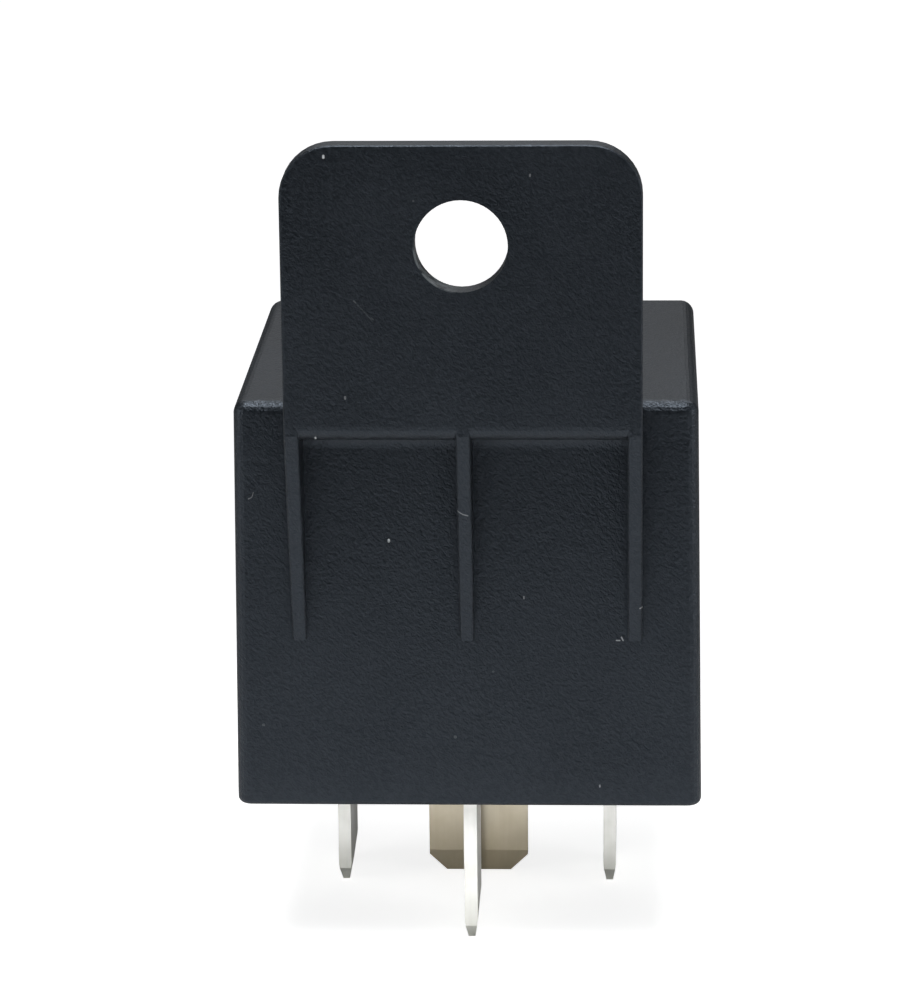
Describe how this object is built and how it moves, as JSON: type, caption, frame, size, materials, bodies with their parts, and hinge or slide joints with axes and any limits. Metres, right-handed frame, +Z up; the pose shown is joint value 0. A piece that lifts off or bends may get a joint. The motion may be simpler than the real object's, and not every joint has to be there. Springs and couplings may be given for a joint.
{
  "type": "automotive relay",
  "caption": "Plug-in automotive relay with a break contact, blade pins below a black moulded cover, and a mounting tab with a fixing hole on three gusset ribs.",
  "frame": {"origin": "on the surface the blade tips stand on, under the centre of the relay's outline seen from above", "axes": "+Z up from the blade tips to the mounting tab, +Y from the mounting tab to the far side of the cover, +X to the right when looking along +Y at the tab's face"},
  "size_m": [0.028, 0.0312, 0.0506],
  "materials": {
    "cover_plastic": "fine moulded grain, semi-matt",
    "base_plastic": "moulded, matt",
    "tinned_blade": "tin plated, bright with fine rub marks",
    "bronze_blade": "brushed, tarnished tin over bronze",
    "magnet_iron": "zinc plated, satin",
    "core_iron": "nickel plated, satin",
    "bobbin_nylon": "natural nylon, satin",
    "enamelled_wire": "enamelled copper, glossy",
    "spring_bronze": "rolled, satin",
    "rivet_steel": "bright",
    "contact_silver": "satin silver",
    "resistor_coat": "glossy lacquer",
    "copper_braid": "woven bare copper"
  },
  "bodies": {
    "housing": {"cover": "cover_plastic", "base_plate": "base_plastic", "terminal_30": "tinned_blade", "terminal_85": "tinned_blade", "terminal_86": "tinned_blade", "terminal_87a": "bronze_blade", "yoke": "magnet_iron", "core": "core_iron", "bobbin": "bobbin_nylon", "coil_winding": "enamelled_wire", "coil_lead_start": "enamelled_wire", "coil_lead_finish": "enamelled_wire", "contact_spring": "spring_bronze", "yoke_rivets": "rivet_steel", "fixed_contact": "contact_silver", "suppression_resistor": "resistor_coat", "braid": "copper_braid"},
    "armature": {"armature": "magnet_iron", "armature_rivets": "rivet_steel", "moving_contact": "contact_silver"}
  },
  "joints": [
    {"name": "armature_swing", "type": "hinge", "parent": "housing", "child": "armature", "pos_m": [0, -0.0094, 0.0273], "axis": [-1, 0, 0], "range_deg": [0, 3.8], "stiffness_Nm_per_rad": 0.03, "springref_deg": -11.46, "deforming": ["contact_spring", "braid"]}
  ]
}
